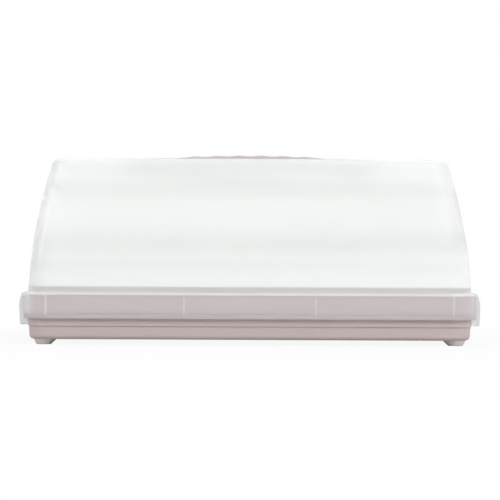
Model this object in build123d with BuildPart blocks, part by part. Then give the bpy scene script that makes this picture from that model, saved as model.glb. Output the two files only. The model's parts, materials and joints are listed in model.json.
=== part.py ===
"""Cake carrier with a hinged lid, a folding carry handle and two end latches.

Millimetres. +Z is up, X runs along the long side and -Y is the front. The origin is on the
surface that the carrier stands on, below the middle of its bounding box.
"""

from build123d import *
import math
import os

# Tray
tray_length = 425.4  # outside its upper band
tray_depth = 281.0
tray_corner_r = 20.0
tray_wall = 2.2
tray_floor = 2.2
band_step = 1.0  # the lower band stands in by this much
band_draft = 1.0  # and leans in by this much more at the bottom
step_z = 18.0
tray_edge_r = 4.0
cavity_edge_r = 5.0
seat_z = 48.0  # ledge that carries the lid
rim_height = 6.6
rim_inset = 3.4
rim_wall = 2.0
rim_lead = 4.0  # height of the sloped wall below the rim
stop_bead_width = 1.6
stop_bead_height = 0.8
stop_bead_inset = 24.0

# Feet
foot_height = 5.0
foot_top_d = 22.0
foot_tread_d = 14.0
foot_lean = 1.5  # the tread stands this much nearer to the corner
foot_inset = 17.1  # centre to the outside of the tray
foot_edge_r = 1.5
peg_d = 8.0
peg_length = 3.0
peg_clearance = 0.05
peg_boss_wall = 2.6
peg_boss_roof = 1.4

# Lid
seat_gap = 0.3
flange_thickness = 1.9
skirt_gap = 2.0  # lets the front swing past the tray
skirt_wall = 1.8
skirt_bottom_z = 25.0
shoulder_r = 4.5
bead_height = 3.4
bead_proud = 0.4
rib_width = 1.6
rib_end_inset = 21.8  # outer rib from the end of the skirt
rib_pitch = 131.8
dome_wall = 1.8
dome_inset = 0.4  # foot of the dome, inside the tray's outside
dome_lean = 23.5
dome_bulge = 4.4
dome_corner_r = 20.0
dome_top_r = 8.0
dome_foot_r = 1.0
lid_top_z = 178.2

# Well in the lid for the handle
well_seat_drop = 14.7  # seats for the handle's ears, below the top of the lid
well_dip_drop = 20.7  # middle of the well
well_end_margin = 33.0  # handle's pivot eye to the end of the well
well_front_margin = 12.0  # folded handle to the front and back walls
well_end_slope = 12.0
well_seat_margin = 21.0  # pivot eye to the inner end of its seat
well_dip_margin = 56.0
well_dip_rise = 1.0  # of its floor towards the sides, before it climbs to the seats
well_corner_r = 14.0

# Handle
pivot_drop = 4.7  # pivot below the top of the lid
pivot_x = 98.0  # middle of each leg's eye
pin_clearance = 0.05
handle_pin_r = 3.0
eye_r = 6.0
leg_width = 9.0
ear_thickness = 4.6
ear_gap = 0.4
ear_r = 4.5
ear_base = 14.0
handle_reach = 52.0  # pivot to the front of the grip
grip_width = 14.0
handle_corner_r = 24.0
leg_low = 2.5  # underside below the pivot
leg_high = 6.0  # top above the pivot
grip_high = 8.3  # crown of the grip above the pivot, without the waves
grip_crown_drop = 1.6  # over the half length of the waves
grip_shoulder = 9.0  # slope from the waves down to the legs
wave_count = 6
wave_pitch = 21.7
wave_rise = 0.7
finger_rise = 1.4

# End latches
latch_width = 100.0
latch_proud = 8.5  # outer face outside the skirt
latch_pivot_out = 3.2  # pivot outside the skirt
latch_pivot_drop = 4.9  # below the flange
latch_barrel_r = 3.0
latch_pin_r = 1.6
latch_skin = 2.2
latch_bulge_drop = 10.3  # widest place below the pivot
latch_draft = 0.7
latch_hook_drop = 8.3  # underside of the lip below the skirt
latch_hook_height = 4.4
latch_web = 1.6
latch_web_count = 4
latch_web_gap = 0.6
latch_side_gap = 0.3
latch_ear_width = 4.0
catch_length = 70.0
catch_height = 3.0
catch_gap = 0.3
catch_setback = 0.5  # of the rib from the skirt's face and bottom edge

# Rear hinges
hinge_end_inset = 82.7  # middle of each hinge from the end of the tray
hinge_barrel_r = 4.5
hinge_pin_r = 2.0
hinge_pin_head_r = 3.2
hinge_pin_head = 1.4
hinge_wall_gap = 0.8
hinge_skirt_gap = 0.5
knuckle_lid = 30.0
knuckle_tray = 14.0
knuckle_gap = 0.4
hinge_arm_height = 12.0  # above the bottom of the skirt
hinge_pin_clearance = 0.1
blend = 0.5  # bite of an added feature into its carrier
cutter_margin = 2.0  # overrun of a cut past the face that it opens

# Worked out
half_length = tray_length / 2
half_depth = tray_depth / 2
skirt_out = skirt_gap + skirt_wall
front_reach = half_depth + skirt_out + bead_proud
hinge_out = hinge_wall_gap + hinge_barrel_r
rear_reach = half_depth + hinge_out + hinge_barrel_r
mid_y = (front_reach - rear_reach) / 2
hinge_y = mid_y + half_depth + hinge_out
hinge_z = skirt_bottom_z - hinge_skirt_gap - hinge_barrel_r
flange_z = seat_z + seat_gap
flange_top_z = flange_z + flange_thickness
skirt_face_x = half_length + skirt_out
floor_top_z = foot_height + tray_floor
peg_boss_top_z = foot_height + peg_length + peg_boss_roof
latch_pivot_x = skirt_face_x + latch_pivot_out
catch_reach = skirt_face_x - catch_setback
catch_top_z = skirt_bottom_z - catch_setback
skirt_back_y = mid_y + half_depth + skirt_out
rib_outer_x = skirt_face_x - rib_end_inset
rib_positions = (rib_outer_x - rib_pitch, rib_outer_x)
latch_reach = skirt_face_x + latch_proud
latch_pivot_z = flange_top_z - latch_pivot_drop
latch_ear_root = skirt_wall / 2
latch_bulge_z = latch_pivot_z - latch_bulge_drop
latch_hook_z = skirt_bottom_z - latch_hook_drop
hinge_x = half_length - hinge_end_inset
hinge_arm_top_z = skirt_bottom_z + hinge_arm_height
pivot_z = lid_top_z - pivot_drop
well_floor_z = lid_top_z - well_seat_drop
well_centre_z = lid_top_z - well_dip_drop
well_length = 2 * (pivot_x + well_end_margin)
well_depth = 2 * (handle_reach + well_front_margin)
well_seat_inner = pivot_x - well_seat_margin
well_dip_half = pivot_x - well_dip_margin
eye_outer_x = pivot_x + leg_width / 2
eye_inner_x = pivot_x - leg_width / 2


def level(z):
    """Horizontal plane at height z, centred on the tray."""
    return Plane(origin=(0, mid_y, z))


def side(x):
    """Plane across the carrier at x: sketch x is world Y, sketch y is world Z."""
    return Plane(origin=(x, 0, 0), x_dir=(0, 1, 0), z_dir=(1, 0, 0))


def front(y):
    """Plane along the carrier at y: sketch x is world X, sketch y is world Z, facing -Y."""
    return Plane(origin=(0, y, 0), x_dir=(1, 0, 0), z_dir=(0, -1, 0))


def slab(inset, z_low, z_high, inset_high=None):
    """Rounded block, in from the tray's outside by inset, or by inset_high at its top."""
    with BuildPart() as block:
        with BuildSketch(level(z_low)):
            RectangleRounded(tray_length - 2 * inset, tray_depth - 2 * inset, tray_corner_r - inset)
        if inset_high is None or abs(inset_high - inset) < 1e-6:
            extrude(amount=z_high - z_low)
        else:
            with BuildSketch(level(z_high)):
                RectangleRounded(
                    tray_length - 2 * inset_high,
                    tray_depth - 2 * inset_high,
                    tray_corner_r - inset_high,
                )
            loft()
    return block.part


def tray_cavity():
    """Space inside the tray, with a rounded bottom edge and a sloped neck below the rim."""
    low = band_step + band_draft + tray_wall
    wide = band_step + tray_wall
    neck = rim_inset + rim_wall
    neck_z = seat_z - tray_wall
    with BuildPart() as cavity:
        add(slab(low, floor_top_z, step_z, wide))
        fillet(cavity.faces().sort_by(Axis.Z)[0].edges(), cavity_edge_r)
        add(slab(wide, step_z, neck_z - rim_lead))
        add(slab(wide, neck_z - rim_lead, neck_z, neck))
        add(slab(neck, neck_z, seat_z + rim_height + cutter_margin))
    return cavity.part


foot_spots = [
    (sx * (half_length - foot_inset), sy * (half_depth - foot_inset))
    for sx in (-1, 1)
    for sy in (-1, 1)
]


def knuckle_spans(lid_side):
    """X spans of the knuckles of one hinge, about its middle."""
    if lid_side:
        return [(-knuckle_lid / 2, knuckle_lid / 2)]
    near = knuckle_lid / 2 + knuckle_gap
    return [(-near - knuckle_tray, -near), (near, near + knuckle_tray)]


# Base tray
lower_band = slab(band_step + band_draft, foot_height, step_z, band_step)
upper_band = slab(0, step_z, seat_z)
rim_block = slab(rim_inset, seat_z, seat_z + rim_height)
cavity_block = tray_cavity()

with BuildPart() as base_tray:
    add(lower_band)
    fillet(base_tray.faces().sort_by(Axis.Z)[0].edges(), tray_edge_r)
    add(upper_band)
    add(rim_block)
    add(cavity_block, mode=Mode.SUBTRACT)
    # Low bead on the floor that keeps a cake off the walls
    with BuildSketch(level(floor_top_z - blend)):
        RectangleRounded(
            tray_length - 2 * stop_bead_inset,
            tray_depth - 2 * stop_bead_inset,
            tray_corner_r,
        )
        RectangleRounded(
            tray_length - 2 * stop_bead_inset - 2 * stop_bead_width,
            tray_depth - 2 * stop_bead_inset - 2 * stop_bead_width,
            tray_corner_r - stop_bead_width,
            mode=Mode.SUBTRACT,
        )
    extrude(amount=stop_bead_height + blend)
    # Bosses and blind sockets for the feet
    with BuildSketch(level(floor_top_z - blend)):
        with Locations(*foot_spots):
            Circle(peg_d / 2 + peg_boss_wall)
    extrude(amount=peg_boss_top_z - floor_top_z + blend)
    with BuildSketch(level(foot_height)):
        with Locations(*foot_spots):
            Circle(peg_d / 2 + peg_clearance)
    extrude(amount=peg_length + peg_clearance, mode=Mode.SUBTRACT)
    # Catch ribs beside the latch hooks
    with BuildSketch(level(catch_top_z - catch_height)):
        Rectangle(2 * (half_length - blend), catch_length)
        Rectangle(2 * catch_reach, catch_length)
        Rectangle(2 * (half_length - tray_wall), catch_length, mode=Mode.SUBTRACT)
    extrude(amount=catch_height)
    # Hinge knuckles on the back wall
    for hinge_side in (-1, 1):
        for x_low, x_high in knuckle_spans(False):
            with BuildSketch(side(hinge_side * hinge_x + x_low)):
                with Locations((hinge_y, hinge_z)):
                    Circle(hinge_barrel_r)
                with Locations((hinge_y - hinge_out / 2 - blend, hinge_z)):
                    Rectangle(hinge_out + 2 * blend, 2 * hinge_barrel_r - 1)
            extrude(amount=x_high - x_low)
            with BuildSketch(side(hinge_side * hinge_x + x_low)):
                with Locations((hinge_y, hinge_z)):
                    Circle(hinge_pin_r + pin_clearance)
            extrude(amount=x_high - x_low, mode=Mode.SUBTRACT)


def make_foot(spot):
    """Soft foot: an oblique cone with a rounded tread and a peg on top."""
    x, y = spot
    lean_x = math.copysign(foot_lean, x)
    lean_y = math.copysign(foot_lean, y)
    with BuildPart() as foot:
        with BuildSketch(level(0)):
            with Locations((x + lean_x, y + lean_y)):
                Circle(foot_tread_d / 2)
        with BuildSketch(level(foot_height)):
            with Locations((x, y)):
                Circle(foot_top_d / 2)
        loft()
        fillet(foot.faces().sort_by(Axis.Z)[0].edges(), foot_edge_r)
        with BuildSketch(level(foot_height)):
            with Locations((x, y)):
                Circle(peg_d / 2)
        extrude(amount=peg_length)
    return foot.part


def dome_volume(inset, z_low, z_high):
    """Arched block of the dome, inset from its outside."""
    foot_x = half_length - dome_inset - inset
    foot_y = half_depth - dome_inset - inset
    with BuildPart() as volume:
        with BuildSketch(front(mid_y)):
            with BuildLine():
                Line((-foot_x, z_low), (foot_x, z_low))
                SagittaArc((foot_x, z_low), (foot_x - dome_lean, z_high), -dome_bulge)
                Line((foot_x - dome_lean, z_high), (dome_lean - foot_x, z_high))
                SagittaArc((dome_lean - foot_x, z_high), (-foot_x, z_low), -dome_bulge)
            make_face()
        extrude(amount=foot_y, both=True)
        with BuildSketch(side(0)):
            with BuildLine():
                Line((mid_y - foot_y, z_low), (mid_y + foot_y, z_low))
                SagittaArc(
                    (mid_y + foot_y, z_low), (mid_y + foot_y - dome_lean, z_high), -dome_bulge
                )
                Line((mid_y + foot_y - dome_lean, z_high), (mid_y - foot_y + dome_lean, z_high))
                SagittaArc(
                    (mid_y - foot_y + dome_lean, z_high), (mid_y - foot_y, z_low), -dome_bulge
                )
            make_face()
        extrude(amount=foot_x, both=True, mode=Mode.INTERSECT)
        corners = [
            edge
            for edge in volume.edges()
            if edge.bounding_box().size.Z > (z_high - z_low) / 2
        ]
        fillet(corners, dome_corner_r - inset)
        fillet(volume.faces().sort_by(Axis.Z)[-1].edges(), dome_top_r - inset)
    return volume.part


def well_volume(extra):
    """Space of the handle's well, larger by extra on its sides and floor."""
    top = lid_top_z + cutter_margin
    half = well_length / 2 + extra
    seat_end = half - well_end_slope
    floor = well_floor_z - extra
    dip = well_centre_z - extra
    with BuildPart() as volume:
        with BuildSketch(front(mid_y)):
            with BuildLine():
                Line((-half, top), (-half, lid_top_z))
                Line((-half, lid_top_z), (-seat_end, floor))
                Line((-seat_end, floor), (-well_seat_inner, floor))
                Spline(
                    (-well_seat_inner, floor),
                    (-well_dip_half, dip + well_dip_rise),
                    (0, dip),
                    (well_dip_half, dip + well_dip_rise),
                    (well_seat_inner, floor),
                    tangents=[(1, 0), (1, 0)],
                )
                Line((well_seat_inner, floor), (seat_end, floor))
                Line((seat_end, floor), (half, lid_top_z))
                Line((half, lid_top_z), (half, top))
                Line((half, top), (-half, top))
            make_face()
        extrude(amount=well_depth / 2 + extra, both=True)
        with BuildSketch(level(dip - cutter_margin)):
            RectangleRounded(2 * half, well_depth + 2 * extra, well_corner_r + extra)
        extrude(amount=top - dip + 2 * cutter_margin, mode=Mode.INTERSECT)
    return volume.part


dome_outer = dome_volume(0, flange_z, lid_top_z)
dome_inner = dome_volume(dome_wall, flange_z - blend, lid_top_z - dome_wall)
well_block = well_volume(dome_wall)
well_space = well_volume(0)

with BuildPart() as skirt_shell:
    add(slab(-skirt_out, skirt_bottom_z, flange_top_z))
    fillet(skirt_shell.faces().sort_by(Axis.Z)[-1].edges(), shoulder_r)
    with BuildSketch(level(skirt_bottom_z)):
        RectangleRounded(
            tray_length + 2 * (skirt_out + bead_proud),
            tray_depth + 2 * (skirt_out + bead_proud),
            tray_corner_r + skirt_out + bead_proud,
        )
    extrude(amount=bead_height)

with BuildPart() as skirt_space:
    add(slab(-skirt_gap, skirt_bottom_z, flange_z))
    fillet(skirt_space.faces().sort_by(Axis.Z)[-1].edges(), shoulder_r - skirt_wall)

with BuildPart() as well_shell:
    add(well_block)
    add(dome_outer, mode=Mode.INTERSECT)

with BuildPart() as lid:
    add(skirt_shell.part)
    # Slim upright ribs on the front and back of the skirt
    with BuildSketch(level(skirt_bottom_z)):
        for rib_x in rib_positions:
            with Locations((rib_x, 0), (-rib_x, 0)):
                Rectangle(rib_width, tray_depth + 2 * (skirt_out + bead_proud))
    extrude(amount=flange_top_z - shoulder_r - skirt_bottom_z)
    add(skirt_space.part, mode=Mode.SUBTRACT)
    add(dome_outer)
    add(dome_inner, mode=Mode.SUBTRACT)
    add(well_shell.part)
    add(well_space, mode=Mode.SUBTRACT)
    foot_edges = [
        edge
        for edge in lid.edges()
        if abs(edge.center().Z - flange_top_z) < blend
        and abs(edge.bounding_box().size.Z) < blend
        and max(abs(edge.center().X) - half_length, abs(edge.center().Y - mid_y) - half_depth) < 0
    ]
    fillet(foot_edges, dome_foot_r)
    # Ears that hold the trunnions of the two end latches
    for lid_end in (-1, 1):
        for ear_side in (-1, 1):
            near = ear_side * (latch_width / 2 + latch_side_gap)
            with BuildSketch(front(mid_y + near)):
                with Locations((lid_end * latch_pivot_x, latch_pivot_z)):
                    Circle(latch_barrel_r)
                with BuildLine():
                    Polyline(
                        (lid_end * (skirt_face_x - latch_ear_root), latch_pivot_z + latch_barrel_r),
                        (lid_end * latch_pivot_x, latch_pivot_z + latch_barrel_r),
                        (lid_end * (latch_pivot_x + latch_barrel_r), latch_pivot_z),
                        (lid_end * (skirt_face_x - latch_ear_root), latch_pivot_z - 2 * latch_barrel_r),
                        close=True,
                    )
                make_face()
            extrude(amount=-ear_side * latch_ear_width)
            with BuildSketch(front(mid_y + near)):
                with Locations((lid_end * latch_pivot_x, latch_pivot_z)):
                    Circle(latch_pin_r + pin_clearance)
            extrude(amount=-ear_side * latch_ear_width, mode=Mode.SUBTRACT)
    # Ears in the well that hold the trunnions of the handle
    for handle_end in (-1, 1):
        for ear_low in (eye_inner_x - ear_gap - ear_thickness, eye_outer_x + ear_gap):
            ear_start = ear_low if handle_end > 0 else -ear_low - ear_thickness
            with BuildSketch(side(ear_start)):
                with BuildLine():
                    Polyline(
                        (mid_y - ear_base / 2, well_floor_z - blend),
                        (mid_y + ear_base / 2, well_floor_z - blend),
                        (mid_y + ear_r, pivot_z),
                        (mid_y - ear_r, pivot_z),
                        close=True,
                    )
                make_face()
                with Locations((mid_y, pivot_z)):
                    Circle(ear_r)
                with Locations((mid_y, pivot_z)):
                    Circle(handle_pin_r + pin_clearance, mode=Mode.SUBTRACT)
            extrude(amount=ear_thickness)
    # Hinge knuckles on arms that come down from the back of the skirt
    for hinge_side in (-1, 1):
        for x_low, x_high in knuckle_spans(True):
            with BuildSketch(side(hinge_side * hinge_x + x_low)):
                with Locations((hinge_y, hinge_z)):
                    Circle(hinge_barrel_r)
                with BuildLine():
                    Polyline(
                        (skirt_back_y - blend, hinge_arm_top_z),
                        (skirt_back_y - blend, skirt_bottom_z),
                        (hinge_y - hinge_barrel_r, skirt_bottom_z),
                        (hinge_y - hinge_barrel_r, hinge_z),
                        (hinge_y + hinge_barrel_r, hinge_z),
                        (skirt_back_y + bead_proud, hinge_arm_top_z),
                        close=True,
                    )
                make_face()
                with Locations((hinge_y, hinge_z)):
                    Circle(hinge_pin_r + hinge_pin_clearance, mode=Mode.SUBTRACT)
            extrude(amount=x_high - x_low)


def make_handle():
    """Carry handle, folded to the front: a flat bail with a waved, crowned grip."""
    wave_half = wave_count * wave_pitch / 2
    crown_z = pivot_z + grip_high
    leg_top_z = pivot_z + leg_high
    inner_reach = handle_reach - grip_width
    middles = [(n - (wave_count - 1) / 2) * wave_pitch for n in range(wave_count)]
    with BuildSketch() as opening:
        with Locations((0, (handle_reach - inner_reach) / 2)):
            Rectangle(2 * eye_inner_x, inner_reach + handle_reach)
        fillet(opening.vertices().group_by(Axis.Y)[0], handle_corner_r - leg_width)
        for middle in middles:
            with Locations((middle, -inner_reach)):
                Ellipse(wave_pitch / 2, finger_rise, mode=Mode.SUBTRACT)
    with BuildPart() as bail:
        with BuildSketch(level(pivot_z - leg_low)) as plan:
            with Locations((0, -handle_reach / 2)):
                Rectangle(2 * eye_outer_x, handle_reach)
            fillet(plan.vertices().group_by(Axis.Y)[0], handle_corner_r)
            add(opening.sketch, mode=Mode.SUBTRACT)
        extrude(amount=grip_high + wave_rise + leg_low)
        with BuildSketch(front(mid_y)):
            with BuildLine():
                Line((-eye_outer_x, leg_top_z), (-eye_outer_x, pivot_z - leg_low))
                Line((-eye_outer_x, pivot_z - leg_low), (eye_outer_x, pivot_z - leg_low))
                Line((eye_outer_x, pivot_z - leg_low), (eye_outer_x, leg_top_z))
                Line((eye_outer_x, leg_top_z), (wave_half + grip_shoulder, leg_top_z))
                Line((wave_half + grip_shoulder, leg_top_z), (wave_half, crown_z - grip_crown_drop))
                for middle in reversed(middles):
                    high = middle + wave_pitch / 2
                    low = middle - wave_pitch / 2
                    ThreePointArc(
                        (high, crown_z - grip_crown_drop * (high / wave_half) ** 2),
                        (middle, crown_z + wave_rise - grip_crown_drop * (middle / wave_half) ** 2),
                        (low, crown_z - grip_crown_drop * (low / wave_half) ** 2),
                    )
                Line(
                    (-wave_half, crown_z - grip_crown_drop), (-wave_half - grip_shoulder, leg_top_z)
                )
                Line((-wave_half - grip_shoulder, leg_top_z), (-eye_outer_x, leg_top_z))
            make_face()
        extrude(amount=2 * handle_reach, both=True, mode=Mode.INTERSECT)
        for handle_end in (-1, 1):
            middle = handle_end * pivot_x
            with BuildSketch(side(middle - leg_width / 2)):
                with Locations((mid_y, pivot_z)):
                    Circle(eye_r)
            extrude(amount=leg_width)
            with BuildSketch(side(middle - leg_width / 2 - ear_gap - ear_thickness)):
                with Locations((mid_y, pivot_z)):
                    Circle(handle_pin_r)
            extrude(amount=leg_width + 2 * (ear_gap + ear_thickness))
    return bail.part


def make_latch(end):
    """End latch: a bulged skin with webs inside, a barrel with trunnions and a hooked lip."""
    hook_mid_z = latch_hook_z + latch_hook_height / 2
    skin_foot_x = latch_reach - latch_draft
    tip_x = catch_reach + catch_gap
    back_y = mid_y + latch_width / 2
    web_step = (latch_width - latch_web) / (latch_web_count - 1)
    crown_out = latch_reach - latch_pivot_x
    crown_up = latch_pivot_z + latch_barrel_r - latch_bulge_z
    halfway = math.sqrt(0.5)
    with BuildPart() as latch:
        with BuildSketch(front(back_y)):
            with BuildLine():
                Spline(
                    (end * latch_pivot_x, latch_pivot_z + latch_barrel_r),
                    (
                        end * (latch_pivot_x + halfway * crown_out),
                        latch_bulge_z + halfway * crown_up,
                    ),
                    (end * latch_reach, latch_bulge_z),
                    tangents=[(end, 0), (0, -1)],
                )
                Line((end * latch_reach, latch_bulge_z), (end * skin_foot_x, hook_mid_z))
                Line((end * skin_foot_x, hook_mid_z), (end * (skin_foot_x - latch_skin), hook_mid_z))
                Line(
                    (end * (skin_foot_x - latch_skin), hook_mid_z),
                    (end * (latch_reach - latch_skin), latch_bulge_z),
                )
                Spline(
                    (end * (latch_reach - latch_skin), latch_bulge_z),
                    (
                        end * (latch_pivot_x + halfway * (crown_out - latch_skin)),
                        latch_bulge_z + halfway * (crown_up - latch_skin),
                    ),
                    (end * latch_pivot_x, latch_pivot_z + latch_barrel_r - latch_skin),
                    tangents=[(0, 1), (-end, 0)],
                )
                Line(
                    (end * latch_pivot_x, latch_pivot_z + latch_barrel_r - latch_skin),
                    (end * latch_pivot_x, latch_pivot_z + latch_barrel_r),
                )
            make_face()
            with Locations((end * (tip_x + skin_foot_x) / 2, hook_mid_z)):
                SlotOverall(skin_foot_x - tip_x, latch_hook_height)
        extrude(amount=latch_width)
        with BuildSketch(front(back_y)):
            with Locations((end * latch_pivot_x, latch_pivot_z)):
                Circle(latch_barrel_r)
        extrude(amount=latch_width)
        for web in range(latch_web_count):
            with BuildSketch(front(back_y - web * web_step)):
                with BuildLine():
                    Polyline(
                        (end * (skirt_face_x + latch_web_gap), latch_pivot_z),
                        (end * (skirt_face_x + latch_web_gap), hook_mid_z),
                        (end * (skin_foot_x - blend), hook_mid_z),
                        (end * (latch_reach - blend), latch_bulge_z),
                        (
                            end * (latch_pivot_x + halfway * (crown_out - latch_skin / 2)),
                            latch_bulge_z + halfway * (crown_up - latch_skin / 2),
                        ),
                        (end * (latch_pivot_x + blend), latch_pivot_z + blend),
                        close=True,
                    )
                make_face()
            extrude(amount=latch_web)
        with BuildSketch(front(back_y + latch_side_gap + latch_ear_width)):
            with Locations((end * latch_pivot_x, latch_pivot_z)):
                Circle(latch_pin_r)
        extrude(amount=latch_width + 2 * (latch_side_gap + latch_ear_width))
    return latch.part


def make_hinge_pin(end):
    """Hinge pin through three knuckles, with its head on the outer side."""
    half = knuckle_lid / 2 + knuckle_gap + knuckle_tray
    head_x = end * (hinge_x + half)
    with BuildPart() as pin:
        with BuildSketch(side(head_x)):
            with Locations((hinge_y, hinge_z)):
                Circle(hinge_pin_r)
        extrude(amount=-end * 2 * half)
        with BuildSketch(side(head_x)):
            with Locations((hinge_y, hinge_z)):
                Circle(hinge_pin_head_r)
        extrude(amount=end * hinge_pin_head)
    return pin.part


pieces = {
    "base_tray": base_tray.part,
    "lid": lid.part,
    "carry_handle": make_handle(),
    "latch_left": make_latch(-1),
    "latch_right": make_latch(1),
    "hinge_pin_left": make_hinge_pin(-1),
    "hinge_pin_right": make_hinge_pin(1),
    "foot_front_left": make_foot(foot_spots[0]),
    "foot_back_left": make_foot(foot_spots[1]),
    "foot_front_right": make_foot(foot_spots[2]),
    "foot_back_right": make_foot(foot_spots[3]),
}

os.makedirs("parts", exist_ok=True)
for name, piece in pieces.items():
    piece.label = name
    export_step(piece, f"parts/{name}.step")
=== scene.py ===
"""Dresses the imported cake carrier: finishes, carry handle, end latches and a plain studio.

Everything is in metres in the carrier's own frame: +Z is up, X runs along the long side and
-Y is the front. The rigid pieces come from the frame, and what is remodelled here rides on
the same bodies.
"""

import json
import logging
import math
from dataclasses import dataclass, field, replace
from enum import Enum

import bmesh
import bpy
from mathutils import Matrix, Vector


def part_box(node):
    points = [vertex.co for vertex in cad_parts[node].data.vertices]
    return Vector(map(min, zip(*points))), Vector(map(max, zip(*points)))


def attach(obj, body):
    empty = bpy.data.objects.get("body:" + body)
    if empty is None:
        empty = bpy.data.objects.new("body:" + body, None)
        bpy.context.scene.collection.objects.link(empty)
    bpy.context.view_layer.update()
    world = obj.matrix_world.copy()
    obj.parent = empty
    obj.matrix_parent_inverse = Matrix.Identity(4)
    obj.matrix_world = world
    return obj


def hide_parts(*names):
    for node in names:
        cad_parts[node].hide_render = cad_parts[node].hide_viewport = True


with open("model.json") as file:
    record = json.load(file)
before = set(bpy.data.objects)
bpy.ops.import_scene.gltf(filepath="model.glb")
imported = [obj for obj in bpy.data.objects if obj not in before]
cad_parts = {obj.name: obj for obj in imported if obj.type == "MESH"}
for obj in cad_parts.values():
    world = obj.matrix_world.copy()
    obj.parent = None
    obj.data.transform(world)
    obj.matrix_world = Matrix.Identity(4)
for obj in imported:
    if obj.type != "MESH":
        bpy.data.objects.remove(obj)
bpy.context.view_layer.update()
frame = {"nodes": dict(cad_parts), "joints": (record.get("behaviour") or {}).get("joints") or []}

LOG = logging.getLogger("carrier")
MM = 0.001
WELD_DISTANCE = 0.005 * MM  # vertices nearer than this are one
SUBTLE_TURN = 0.4  # degrees: flatter edges are seams of one face
LATCH_ROUNDING = 0.45 * MM
IMAGE_SIDE = 500  # pixels of the square picture
SENSOR_WIDTH = 36.0  # millimetres
WHITE = (1.0, 1.0, 1.0, 1.0)


class Slot(Enum):
    """Material slots of the record that the remodelled pieces belong to."""

    PINK = "dusty_pink_polypropylene"
    FROSTED = "frosted_polypropylene"


def linear(hex_colour: str) -> tuple[float, float, float, float]:
    """Turns an sRGB hex colour to linear light.

    Args:
        hex_colour: Colour such as "#C8B4B4".

    Returns:
        The linear red, green and blue values, and 1 for the fourth channel.
    """
    channels = [int(hex_colour[i : i + 2], 16) / 255 for i in (1, 3, 5)]
    curve = [c / 12.92 if c <= 0.04045 else ((c + 0.055) / 1.055) ** 2.4 for c in channels]
    return (*curve, 1.0)


def ease(share: float) -> float:
    """Smooths a share between 0 and 1 so that it starts and ends level."""
    return share * share * (3 - 2 * share)


def add_node(
    tree: bpy.types.NodeTree,
    kind: str,
    settings: dict | None = None,
    inputs: dict | None = None,
) -> bpy.types.Node:
    """Adds a node to a tree with its settings, values and links.

    Args:
        tree: Tree that the node goes into.
        kind: Blender's name of the node type.
        settings: Attributes to set on the node.
        inputs: Socket name or number to a value, or to the output socket that feeds it.

    Returns:
        The new node.
    """
    node = tree.nodes.new(kind)
    for name, value in (settings or {}).items():
        setattr(node, name, value)
    for name, value in (inputs or {}).items():
        if isinstance(value, bpy.types.NodeSocket):
            tree.links.new(value, node.inputs[name])
        else:
            node.inputs[name].default_value = value
    return node


def add_maths(tree: bpy.types.NodeTree, operation: str, first: object,
              second: object) -> bpy.types.NodeSocket:
    """Adds a maths node that works on two values.

    Args:
        tree: Tree that the node goes into.
        operation: Blender's name of the operation.
        first: Value or output socket.
        second: Value or output socket.

    Returns:
        The socket with the result.
    """
    inputs = {0: first, 1: second}
    return add_node(tree, "ShaderNodeMath", {"operation": operation}, inputs).outputs[0]


def add_ramp(tree: bpy.types.NodeTree, value: bpy.types.NodeSocket,
             span: tuple[float, float], ends: tuple) -> bpy.types.NodeSocket:
    """Adds a smooth change from one value to another.

    Args:
        tree: Tree that the node goes into.
        value: What the change follows.
        span: Where the change starts and where it is complete.
        ends: Result before and after the change, as values or sockets.

    Returns:
        The socket with the result.
    """
    inputs = {
        "Value": value,
        "From Min": span[0],
        "From Max": span[1],
        "To Min": ends[0],
        "To Max": ends[1],
    }
    settings = {"interpolation_type": "SMOOTHSTEP"}
    return add_node(tree, "ShaderNodeMapRange", settings, inputs).outputs["Result"]


@dataclass(frozen=True)
class Zone:
    """Heights over which a moulding changes to another clearness, and what it has beyond."""

    start_mm: float
    end_mm: float
    transmission: float
    alpha: float


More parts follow.
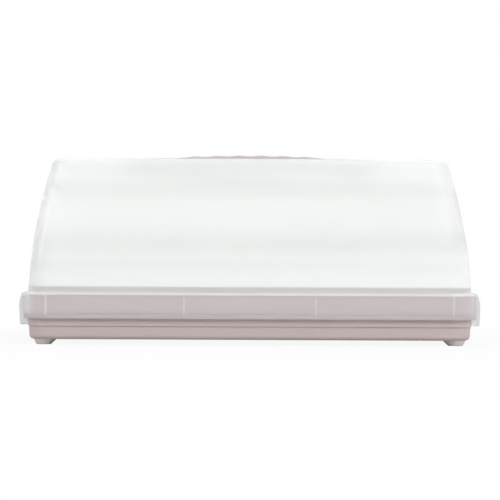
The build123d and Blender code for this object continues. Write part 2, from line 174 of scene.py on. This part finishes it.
@dataclass(frozen=True)
class MouldedPlastic:
    """An injection moulded plastic with a fine spark-eroded grain and faint flow clouds."""

    name: str
    colour: str
    cloud_colour: str
    roughness: float
    grain_mm: float
    grain_depth_mm: float
    cloud_mm: float
    roughness_swing: float = 0.03
    alpha: float = 1.0
    ior: float = 1.49
    sheen: float = 0.0
    transmission: float = 0.0
    coat: float = 0.0
    coat_roughness: float = 0.2
    zones: tuple[Zone, ...] = ()

    def material(self) -> bpy.types.Material:
        """Makes the node material of this finish."""
        made = bpy.data.materials.new(self.name)
        made.use_nodes = True
        tree = made.node_tree
        tree.nodes.clear()
        place = add_node(tree, "ShaderNodeTexCoord").outputs["Object"]
        cloud = add_node(
            tree,
            "ShaderNodeTexNoise",
            inputs={"Vector": place, "Scale": 1 / (self.cloud_mm * MM), "Detail": 2.0},
        )
        tint = add_node(
            tree,
            "ShaderNodeMix",
            {"data_type": "RGBA"},
            {0: cloud.outputs["Fac"], 6: linear(self.colour), 7: linear(self.cloud_colour)},
        )
        grain = add_node(
            tree,
            "ShaderNodeTexNoise",
            inputs={"Vector": place, "Scale": 1 / (self.grain_mm * MM), "Detail": 3.0},
        )
        relief = add_node(
            tree,
            "ShaderNodeBump",
            inputs={
                "Height": grain.outputs["Fac"],
                "Distance": self.grain_depth_mm * MM,
                "Strength": 1.0,
            },
        )
        gloss = add_node(
            tree,
            "ShaderNodeMapRange",
            inputs={
                "Value": cloud.outputs["Fac"],
                "To Min": self.roughness - self.roughness_swing,
                "To Max": self.roughness + self.roughness_swing,
            },
        )
        shader = add_node(
            tree,
            "ShaderNodeBsdfPrincipled",
            inputs={
                "Base Color": tint.outputs[2],
                "Transmission Weight": self.zoned(tree, place, "transmission"),
                "Alpha": self.zoned(tree, place, "alpha"),
                "Roughness": gloss.outputs["Result"],
                "Normal": relief.outputs["Normal"],
                "IOR": self.ior,
                "Coat Weight": self.coat,
                "Coat Roughness": self.coat_roughness,
                "Sheen Weight": self.sheen,
            },
        )
        surface = {"Surface": shader.outputs["BSDF"]}
        add_node(tree, "ShaderNodeOutputMaterial", inputs=surface)
        return made

    def zoned(self, tree: bpy.types.NodeTree, place: bpy.types.NodeSocket,
              value: str) -> float | bpy.types.NodeSocket:
        """Looks up a value that changes from zone to zone.

        Args:
            tree: Tree of the material.
            place: Object coordinates.
            value: Name of the field, transmission or alpha.

        Returns:
            One value, or the socket that gives the value at each height.
        """
        result = getattr(self, value)
        for zone in self.zones:
            height = add_node(tree, "ShaderNodeSeparateXYZ", inputs={"Vector": place})
            span = (zone.start_mm * MM, zone.end_mm * MM)
            result = add_ramp(tree, height.outputs["Z"], span, (result, getattr(zone, value)))
        return result


def pink_plastic(name: str, colour: str, cloud_colour: str) -> MouldedPlastic:
    """An opaque satin polypropylene with the grain of the tray's mould."""
    return MouldedPlastic(
        name=name,
        colour=colour,
        cloud_colour=cloud_colour,
        roughness=0.42,
        grain_mm=1.1,
        grain_depth_mm=0.02,
        cloud_mm=60.0,
    )


def frosted_plastic(name: str, colour: str, cloud_colour: str, **changes) -> MouldedPlastic:
    """A part see-through, part scattering polypropylene with the grain of the lid's mould.

    Args:
        name: Name of the material.
        colour: Its colour.
        cloud_colour: Its colour in the flow clouds.
        **changes: Other fields of the finish.

    Returns:
        The finish.
    """
    wall = MouldedPlastic(
        name=name,
        colour=colour,
        cloud_colour=cloud_colour,
        roughness=0.36,
        grain_mm=1.4,
        grain_depth_mm=0.01,
        cloud_mm=90.0,
        ior=1.2,
    )
    return replace(wall, **changes)


# Dusty pink polypropylene homopolymer, moulded: satin, even, a little soft at its edges
PINK_FINISH = pink_plastic("dusty_pink_moulded_polypropylene", "#CBBCBB", "#C7B8B7")
# Polypropylene of the handle: the tray's colour, a little greyer
HANDLE_FINISH = pink_plastic("grey_pink_moulded_polypropylene", "#BCB4B4", "#B8B0B0")
# Random copolymer polypropylene, natural: polished outside, frosted inside, so that what
# touches it shows and the rest blurs. It is milkier towards the lid's top. Over the foot of the
# dome it is also milkier, and this is painted light: it brightens the lower wall where it falls
# into shade. It clears again where the wall meets the flange.
FROSTED_FINISH = frosted_plastic(
    "frosted_clear_polypropylene",
    "#FCFEFD",
    "#FAFCFB",
    roughness=0.5,
    alpha=0.62,
    transmission=0.82,
    coat=0.36,
    coat_roughness=0.1,
    ior=1.1,
    zones=(
        Zone(start_mm=142.0, end_mm=162.0, transmission=0.44, alpha=0.84),
        # painted light: the foot is made milkier so that the lower dome is brightened where it
        # falls into shade
        Zone(start_mm=106.0, end_mm=80.0, transmission=0.16, alpha=0.84),
        Zone(start_mm=80.0, end_mm=62.0, transmission=0.1, alpha=0.96),
        Zone(start_mm=56.8, end_mm=54.0, transmission=0.56, alpha=0.72),
    ),
)
# The same plastic in the skirt, where its wall is thinnest and clearest
SKIRT_FINISH = frosted_plastic(
    "frosted_polypropylene_thin_wall",
    "#FDFDFF",
    "#FBFBFE",
    alpha=0.62,
    transmission=0.8,
    coat=0.3,
)
# The same plastic where the shoulder makes it thick, and so milkier
MILKY_FINISH = frosted_plastic(
    "frosted_polypropylene_thick_section",
    "#FDFEFE",
    "#F8FAF9",
    alpha=0.82,
    transmission=0.44,
    coat=0.3,
)
# The same plastic in the bead along the skirt's lower edge, made so thick that nothing shows
# through it.
# Its colour is painted: the tray's pink as it shows through the skirt, darkened by the shade in
# the gap behind it.
BEAD_SEEN_TRAY_AND_SHADE_FINISH = frosted_plastic(
    "frosted_polypropylene_bead_painted_tray_and_shade", "#D8CFD0", "#D4CBCC", transmission=0.35
)
# The same plastic in the thin ribs between the skirt and the tray: whiter than the skirt
RIB_FINISH = frosted_plastic(
    "frosted_polypropylene_rib", "#FDFEFE", "#F8FAF9", alpha=0.7, transmission=0.5
)
# The same plastic in the handle's well, seen edge-on through the dome: hardly there
WELL_FINISH = frosted_plastic(
    "frosted_polypropylene_well",
    "#FFFFFF",
    "#FDFEFE",
    roughness=0.5,
    alpha=0.2,
    transmission=0.85,
)
# Thermoplastic elastomer: a matt grey that is soft to the touch, with a fine grain
SOFT_FINISH = MouldedPlastic(
    name="grey_thermoplastic_elastomer",
    colour="#E6DEDB",
    cloud_colour="#E2DAD6",
    roughness=0.72,
    grain_mm=0.9,
    grain_depth_mm=0.04,
    cloud_mm=30.0,
    sheen=0.1,
)


def finish_object(
    name: str,
    mesh: bmesh.types.BMesh,
    material: bpy.types.Material,
    smooth_degrees: float = 35.0,
) -> bpy.types.Object:
    """Makes an object of a bmesh, smooth but for its sharp edges.

    Args:
        name: Name of the object.
        mesh: Shape in the carrier's frame, freed here.
        material: Its only material.
        smooth_degrees: Edges that turn by more stay sharp.

    Returns:
        The linked object, at the origin.
    """
    data = bpy.data.meshes.new(name)
    mesh.to_mesh(data)
    mesh.free()
    data.materials.append(material)
    data.shade_smooth()
    data.set_sharp_from_angle(angle=math.radians(smooth_degrees))
    made = bpy.data.objects.new(name, data)
    bpy.context.scene.collection.objects.link(made)
    return made


def copy_shape(node: str) -> bmesh.types.BMesh:
    """Copies the mesh of a node of the frame and joins its doubled vertices."""
    shape = bmesh.new()
    shape.from_mesh(frame["nodes"][node].data)
    bmesh.ops.remove_doubles(shape, verts=shape.verts, dist=WELD_DISTANCE)
    return shape


def even_shading(made: bpy.types.Object) -> None:
    """Makes the large faces of an object lead its shading, so that flats look flat."""
    weights = made.modifiers.new("even_shading", "WEIGHTED_NORMAL")
    weights.keep_sharp = True


@dataclass
class SoftenedNode:
    """A rigid node whose sharp moulded edges are rounded in a copy of its mesh."""

    node: str
    body: str
    slot: Slot
    edge_radius: float
    segments: int = 2
    edge_degrees: float = 32.0
    smooth_degrees: float = 60.0

    def build(self, material: bpy.types.Material) -> bpy.types.Object:
        """Copies the node, rounds its edges and puts the copy in its place."""
        shape = copy_shape(self.node)
        bmesh.ops.dissolve_limit(
            shape,
            angle_limit=math.radians(SUBTLE_TURN),
            verts=shape.verts,
            edges=shape.edges,
        )
        made = finish_object(self.node + "_dressed", shape, material, self.smooth_degrees)
        rounding = made.modifiers.new("edge_rounding", "BEVEL")
        rounding.width = self.edge_radius
        rounding.segments = self.segments
        rounding.limit_method = "ANGLE"
        rounding.angle_limit = math.radians(self.edge_degrees)
        rounding.use_clamp_overlap = True
        even_shading(made)
        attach(made, self.body)
        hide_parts(self.node)
        return made


@dataclass
class LidShell:
    """The lid's moulding, with a finish for each thickness of its plastic."""

    shoulder_low: float = 47.6 * MM
    shoulder_high: float = 50.1 * MM
    bead_top: float = 28.6 * MM
    well_low: float = 150.0 * MM
    well_high: float = 177.9 * MM
    well_half: tuple[float, float] = (131.5 * MM, 64.5 * MM)
    rib_places: tuple[float, ...] = (-194.7 * MM, -62.9 * MM, 62.9 * MM, 194.7 * MM)
    rib_half: float = 1.1 * MM
    upright_below: float = 0.35  # a face is upright if its normal rises by less
    smooth_degrees: float = 32.0

    def build(self, finishes: dict[str, bpy.types.Material]) -> bpy.types.Object:
        """Copies the lid, sorts its faces by thickness and puts the copy in its place.

        Args:
            finishes: Materials of the regions dome, thick, bead, rib, skirt and well.

        Returns:
            The new moulding.
        """
        shape = copy_shape("lid")
        bmesh.ops.bisect_plane(
            shape,
            geom=[*shape.verts, *shape.edges, *shape.faces],
            plane_co=(0, 0, self.bead_top),
            plane_no=(0, 0, 1),
        )
        made = finish_object("lid_moulding", shape, finishes["dome"], self.smooth_degrees)
        order = list(finishes)
        for region in order[1:]:
            made.data.materials.append(finishes[region])
        low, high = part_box("lid")
        middle = (low.y + high.y) / 2
        for face in made.data.polygons:
            face.material_index = order.index(self.region(face, middle))
        even_shading(made)
        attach(made, "lid")
        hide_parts("lid")
        return made

    def region(self, face: bpy.types.MeshPolygon, middle: float) -> str:
        """Names the region that a face belongs to.

        Args:
            face: Face of the lid.
            middle: The lid's middle, front to back.

        Returns:
            One of dome, thick, bead, rib, skirt and well.
        """
        spot = face.center
        across, along = self.well_half
        if spot.z > self.well_low:
            inside = abs(spot.x) < across and abs(spot.y - middle) < along
            upright = abs(face.normal.z) < self.upright_below
            return "well" if inside and upright and spot.z < self.well_high else "dome"
        if spot.z > self.shoulder_high:
            return "dome"
        if spot.z > self.shoulder_low:
            return "thick"
        if spot.z < self.bead_top:
            return "bead"
        on_rib = any(abs(spot.x - place) < self.rib_half for place in self.rib_places)
        return "rib" if on_rib else "skirt"


@dataclass
class CarryHandle:
    """The folding bail: two legs with eyes and trunnions, and a waved grip between them."""

    leg_width: float = 9.0 * MM
    grip_width: float = 14.0 * MM
    corner_radius: float = 24.0 * MM
    underside: float = 2.5 * MM
    leg_rise: float = 6.0 * MM
    grip_rise: float = 8.3 * MM
    crown_drop: float = 1.6 * MM
    shoulder: float = 9.0 * MM
    wave_count: int = 6
    wave_pitch: float = 21.7 * MM
    wave_rise: float = 0.7 * MM
    finger_rise: float = 1.4 * MM
    eye_radius: float = 6.0 * MM
    eye_rounding: float = 0.7 * MM
    trunnion_radius: float = 3.0 * MM
    trunnion_rounding: float = 0.4 * MM
    ear_reach: float = 5.0 * MM
    narrow_share: float = 0.3  # length of leg that stays narrow over the length that widens
    ring_points: int = 24
    barrel_points: int = 40
    rounding_steps: int = 3
    rim_turn: float = 1.0  # radians: sharper edges of a barrel are its rims
    corner_steps: int = 12
    squareness: float = 0.62
    step: float = 1.8 * MM
    pivot: Vector = field(default_factory=Vector)
    leg_x: float = 0.0
    reach: float = 0.0

    def place(self) -> None:
        """Reads the pivot and the reach from the frame."""
        low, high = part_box("carry_handle")
        joint = next(j for j in frame["joints"] if j["name"] == "handle_swing")
        self.pivot = Vector(joint["pos_m"])
        self.leg_x = high[0] - self.ear_reach - self.leg_width / 2
        self.reach = self.pivot.y - low[1]

    def route(self) -> list[tuple[float, float, float]]:
        """Walks the middle line of the bail from its left eye to its right one.

        Returns:
            x, y and the direction of travel in radians for each station, about the pivot.
        """
        corner_x = self.corner_radius - self.leg_width / 2
        corner_y = self.corner_radius - self.grip_width / 2
        turn_y = -(self.reach - self.corner_radius)
        start_x = self.leg_x - corner_x
        leg_steps = max(2, round(-turn_y / self.step))
        right = [(self.leg_x, turn_y * n / leg_steps, -math.pi / 2) for n in range(leg_steps)]
        for n in range(self.corner_steps + 1):
            angle = math.pi / 2 * n / self.corner_steps
            right.append(
                (
                    start_x + corner_x * math.cos(angle),
                    turn_y - corner_y * math.sin(angle),
                    -math.pi / 2 - angle,
                )
            )
        grip_steps = round(start_x / self.step)
        right += [
            (start_x * (1 - n / grip_steps), turn_y - corner_y, -math.pi)
            for n in range(1, grip_steps + 1)
        ]
        left = [(-x, y, -a) for x, y, a in reversed(right[:-1])]
        return right + left

    def wave(self, x: float) -> float:
        """Height of the grip's waves at x, from 0 in a valley to 1 on a crest."""
        half = self.wave_count * self.wave_pitch / 2
        if abs(x) > half:
            return 0.0
        return (1 - math.cos(2 * math.pi * (x + half) / self.wave_pitch)) / 2

    def section(self, x: float, y: float) -> tuple[float, float, float, float]:
        """Cross-section at a station.

        Args:
            x: Station's place along the carrier.
            y: Station's place in front of the pivot.

        Returns:
            Half width outwards, half width inwards, underside and top about the pivot.
        """
        half = self.wave_count * self.wave_pitch / 2
        run = -y / self.reach * (1 + self.narrow_share) - self.narrow_share
        widening = ease(min(1.0, max(0.0, run)))
        width = self.leg_width + (self.grip_width - self.leg_width) * widening
        crown = self.grip_rise - self.crown_drop * min(1.0, (x / half) ** 2)
        if abs(x) > half:
            fall = min(1.0, (abs(x) - half) / self.shoulder)
            crown += (self.leg_rise - crown) * ease(fall)
        ripple = self.wave(x)
        return (
            width / 2,
            width / 2 + self.finger_rise * ripple,
            -self.underside,
            crown + self.wave_rise * ripple,
        )

    def build(self, material: bpy.types.Material) -> bpy.types.Object:
        """Sweeps the bail, adds its eyes and trunnions and hangs it on the handle's body."""
        self.place()
        shape = bmesh.new()
        ring = bmesh.ops.create_circle(shape, segments=self.ring_points, radius=1.0)["verts"]
        angles = [2 * math.pi * n / self.ring_points for n in range(self.ring_points)]
        edges = list(shape.edges)
        for number, (x, y, direction) in enumerate(self.route()):
            if number > 0:
                grown = bmesh.ops.extrude_edge_only(shape, edges=edges)["geom"]
                ring = [g for g in grown if isinstance(g, bmesh.types.BMVert)]
                edges = [g for g in grown if isinstance(g, bmesh.types.BMEdge)]
            self.shape_ring(ring, angles, x, y, direction)
        bmesh.ops.holes_fill(shape, edges=shape.edges, sides=self.ring_points)
        bmesh.ops.recalc_face_normals(shape, faces=shape.faces)
        for side in (-1, 1):
            self.add_eye(shape, side)
        made = finish_object("carry_handle_moulding", shape, material)
        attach(made, "handle")
        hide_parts("carry_handle")
        return made

    def shape_ring(
        self, ring: list, angles: list[float], x: float, y: float, direction: float
    ) -> None:
        """Sets one ring of the sweep to its rounded section.

        Args:
            ring: Vertices of the ring, in order.
            angles: Angle of each vertex round the ring.
            x: Station's place along the carrier.
            y: Station's place in front of the pivot.
            direction: Direction of travel in plan, in radians.
        """
        out_width, in_width, low, high = self.section(x, y)
        facing = direction + math.pi / 2
        outward = Vector((math.cos(facing), math.sin(facing), 0))
        middle = (low + high) / 2
        for vertex, angle in zip(ring, angles):
            across, rise = (
                math.copysign(abs(part) ** self.squareness, part)
                for part in (math.cos(angle), math.sin(angle))
            )
            width = out_width if across > 0 else in_width
            spot = Vector((x, y, middle + rise * (high - low) / 2))
            vertex.co = self.pivot + (spot + outward * across * width)

    def add_eye(self, shape: bmesh.types.BMesh, side: int) -> None:
        """Adds the rounded eye and the trunnion at one leg's end."""
        barrels = (
            (self.eye_radius, self.leg_width, self.eye_rounding),
            (
                self.trunnion_radius,
                self.leg_width + 2 * self.ear_reach,
                self.trunnion_rounding,
            ),
        )
        for radius, length, rounding in barrels:
            turn = Matrix.Rotation(math.pi / 2, 4, "Y")
            spot = Matrix.Translation(self.pivot + Vector((side * self.leg_x, 0, 0)))
            barrel = bmesh.ops.create_cone(
                shape,
                cap_ends=True,
                segments=self.barrel_points,
                radius1=radius,
                radius2=radius,
                depth=length,
                matrix=spot @ turn,
            )["verts"]
            edges = {edge for vertex in barrel for edge in vertex.link_edges}
            rims = {edge for edge in edges if edge.calc_face_angle(0.0) > self.rim_turn}
            bmesh.ops.bevel(
                shape,
                geom=list(rims),
                affect="EDGES",
                offset=rounding,
                segments=self.rounding_steps,
                profile=0.5,
                material=-1,
            )


@dataclass(frozen=True)
class SoftBox:
    """An area lamp that faces the carrier: its place, width and height, and power."""

    name: str
    spot: tuple[float, float, float]
    size: tuple[float, float]
    watts: float
    gloss_only: bool = False  # whether its light shows in reflections alone


# A dim overhead box, two front ones of which the right is the stronger, two strips that light
# the ends from behind, and a narrow card for the gloss line down the dome's left corner
SOFT_BOXES = (
    SoftBox("top_box", (0.0, 0.0, 2.1), (2.0, 2.0), 0.8),
    SoftBox("right_box", (1.2, -1.7, 1.6), (2.2, 1.5), 34.5),
    SoftBox("left_box", (-1.2, -1.7, 1.6), (2.2, 1.5), 18.5),
    SoftBox("left_strip", (-2.7, 0.8, 0.6), (0.6, 1.6), 6.0),
    SoftBox("right_strip", (2.7, 0.8, 0.6), (0.6, 1.6), 6.0),
    SoftBox("gloss_card", (-2.6, -0.95, 1.35), (0.18, 1.4), 34.0, gloss_only=True),
)


@dataclass
class Studio:
    """Camera, lamps, floor and background."""

    distance: float = 4.0
    height: float = 0.120
    focal_pixels: float = 4046.0
    pitch_degrees: float = 0.432
    roll_degrees: float = 0.26
    view_end: float = 100.0
    lamp_aim: tuple[float, float, float] = (0.0, 0.0, 0.1)
    floor_half: float = 30.0
    floor_colour: str = "#CDCDCD"
    shadow_span: tuple[float, float] = (0.3, 0.8)  # metres from the middle
    shadow_white: float = 0.92  # share of plain white within that span
    rise_span: tuple[float, float] = (0.1, 1.0)  # upward part of a direction
    rise_levels: tuple[float, float] = (0.1, 0.7)
    rear_span: tuple[float, float] = (0.0, 0.8)  # backward part of a direction
    rear_levels: tuple[float, float] = (0.0, 1.15)

    def build(self) -> None:
        """Sets up the whole studio."""
        self.camera()
        for box in SOFT_BOXES:
            self.lamp(box)
        self.floor()
        self.world()
        bpy.context.scene.view_settings.view_transform = "Standard"

    def camera(self) -> None:
        """Places the long lens in front of the carrier, a little above its middle."""
        data = bpy.data.cameras.new("camera")
        data.sensor_width = SENSOR_WIDTH
        data.lens = SENSOR_WIDTH * self.focal_pixels / IMAGE_SIDE
        data.clip_end = self.view_end
        made = bpy.data.objects.new("camera", data)
        look = Matrix.Rotation(math.radians(90 - self.pitch_degrees), 4, "X")
        roll = Matrix.Rotation(math.radians(self.roll_degrees), 4, "Z")
        spot = Matrix.Translation((0, -self.distance, self.height))
        made.matrix_world = spot @ look @ roll
        bpy.context.scene.collection.objects.link(made)
        bpy.context.scene.camera = made

    def lamp(self, box: SoftBox) -> None:
        """Hangs one soft box and turns it to the carrier."""
        data = bpy.data.lights.new(box.name, "AREA")
        data.shape = "RECTANGLE"
        data.size, data.size_y = box.size
        data.energy = box.watts
        made = bpy.data.objects.new(box.name, data)
        made.location = box.spot
        made.visible_diffuse = made.visible_transmission = not box.gloss_only
        facing = Vector(self.lamp_aim) - Vector(box.spot)
        made.rotation_euler = facing.to_track_quat("-Z", "Y").to_euler()
        bpy.context.scene.collection.objects.link(made)

    def floor(self) -> None:
        """Lays a pale floor that is white to the camera but for the carrier's shadow."""
        shape = bmesh.new()
        bmesh.ops.create_grid(shape, x_segments=1, y_segments=1, size=self.floor_half)
        material = bpy.data.materials.new("pale_floor")
        material.use_nodes = True
        tree = material.node_tree
        tree.nodes.clear()
        colour = {"Color": linear(self.floor_colour)}
        matt = add_node(tree, "ShaderNodeBsdfDiffuse", inputs=colour)
        glow = add_node(
            tree, "ShaderNodeEmission", inputs={"Color": WHITE, "Strength": 1.0}
        )
        ray = add_node(tree, "ShaderNodeLightPath").outputs
        seen = add_maths(tree, "MAXIMUM", ray["Is Camera Ray"], ray["Is Transmission Ray"])
        place = add_node(tree, "ShaderNodeTexCoord").outputs["Object"]
        away = add_node(tree, "ShaderNodeVectorMath", {"operation": "LENGTH"}, {0: place})
        white = add_ramp(
            tree, away.outputs["Value"], self.shadow_span, (self.shadow_white, 1.0)
        )
        share = add_maths(tree, "MULTIPLY", seen, white)
        mix = {0: share, 1: matt.outputs[0], 2: glow.outputs[0]}
        surface = add_node(tree, "ShaderNodeMixShader", inputs=mix).outputs[0]
        add_node(tree, "ShaderNodeOutputMaterial", inputs={"Surface": surface})
        finish_object("studio_floor", shape, material)

    def world(self) -> None:
        """Gives a white background to the camera and an even fill light to the carrier."""
        world = bpy.data.worlds.new("studio_world")
        bpy.context.scene.world = world
        world.use_nodes = True
        tree = world.node_tree
        tree.nodes.clear()
        ray = add_node(tree, "ShaderNodeLightPath").outputs
        seen = add_maths(tree, "MAXIMUM", ray["Is Camera Ray"], ray["Is Glossy Ray"])
        seen = add_maths(tree, "MAXIMUM", seen, ray["Is Transmission Ray"])
        # Nothing is plain white to light that has already met a matt surface
        direct = add_maths(tree, "LESS_THAN", ray["Diffuse Depth"], 0.5)
        share = add_maths(tree, "MULTIPLY", seen, direct)
        aim = {"Vector": add_node(tree, "ShaderNodeTexCoord").outputs["Generated"]}
        part = add_node(tree, "ShaderNodeSeparateXYZ", inputs=aim).outputs
        above = add_ramp(tree, part["Z"], self.rise_span, self.rise_levels)
        behind = add_ramp(tree, part["Y"], self.rear_span, self.rear_levels)
        strength = add_maths(tree, "ADD", above, behind)
        fill, white = (
            add_node(
                tree, "ShaderNodeBackground", inputs={"Color": WHITE, "Strength": level}
            ).outputs[0]
            for level in (strength, 1.0)
        )
        mix = {0: share, 1: fill, 2: white}
        surface = add_node(tree, "ShaderNodeMixShader", inputs=mix).outputs[0]
        add_node(tree, "ShaderNodeOutputWorld", inputs={"Surface": surface})


def dress_node(node: str, material: bpy.types.Material) -> None:
    """Gives a node of the frame a finish in its own slots."""
    for slot in frame["nodes"][node].material_slots:
        slot.material = material
    LOG.info("%s dressed", node)


def main() -> None:
    """Builds the studio and every piece in order."""
    logging.basicConfig(level=logging.INFO, format="%(message)s")
    Studio().build()
    pink = PINK_FINISH.material()
    frosted = FROSTED_FINISH.material()
    soft = SOFT_FINISH.material()
    for node in ("base_tray", "hinge_pin_left", "hinge_pin_right"):
        dress_node(node, pink)
    for node in frame["nodes"]:
        if node.startswith("foot_"):
            dress_node(node, soft)
    lid_finishes = {
        "dome": frosted,
        "thick": MILKY_FINISH.material(),
        # the bead's colour is painted: the tray's pink and the shade of the gap behind the skirt
        "bead": BEAD_SEEN_TRAY_AND_SHADE_FINISH.material(),
        "rib": RIB_FINISH.material(),
        "skirt": SKIRT_FINISH.material(),
        "well": WELL_FINISH.material(),
    }
    built = [LidShell().build(lid_finishes), CarryHandle().build(HANDLE_FINISH.material())]
    for side in ("left", "right"):
        latch = SoftenedNode("latch_" + side, side + "_latch", Slot.FROSTED, LATCH_ROUNDING)
        built.append(latch.build(frosted))
    LOG.info("built: %s", ", ".join(piece.name for piece in built))


if __name__ == "__main__":
    main()
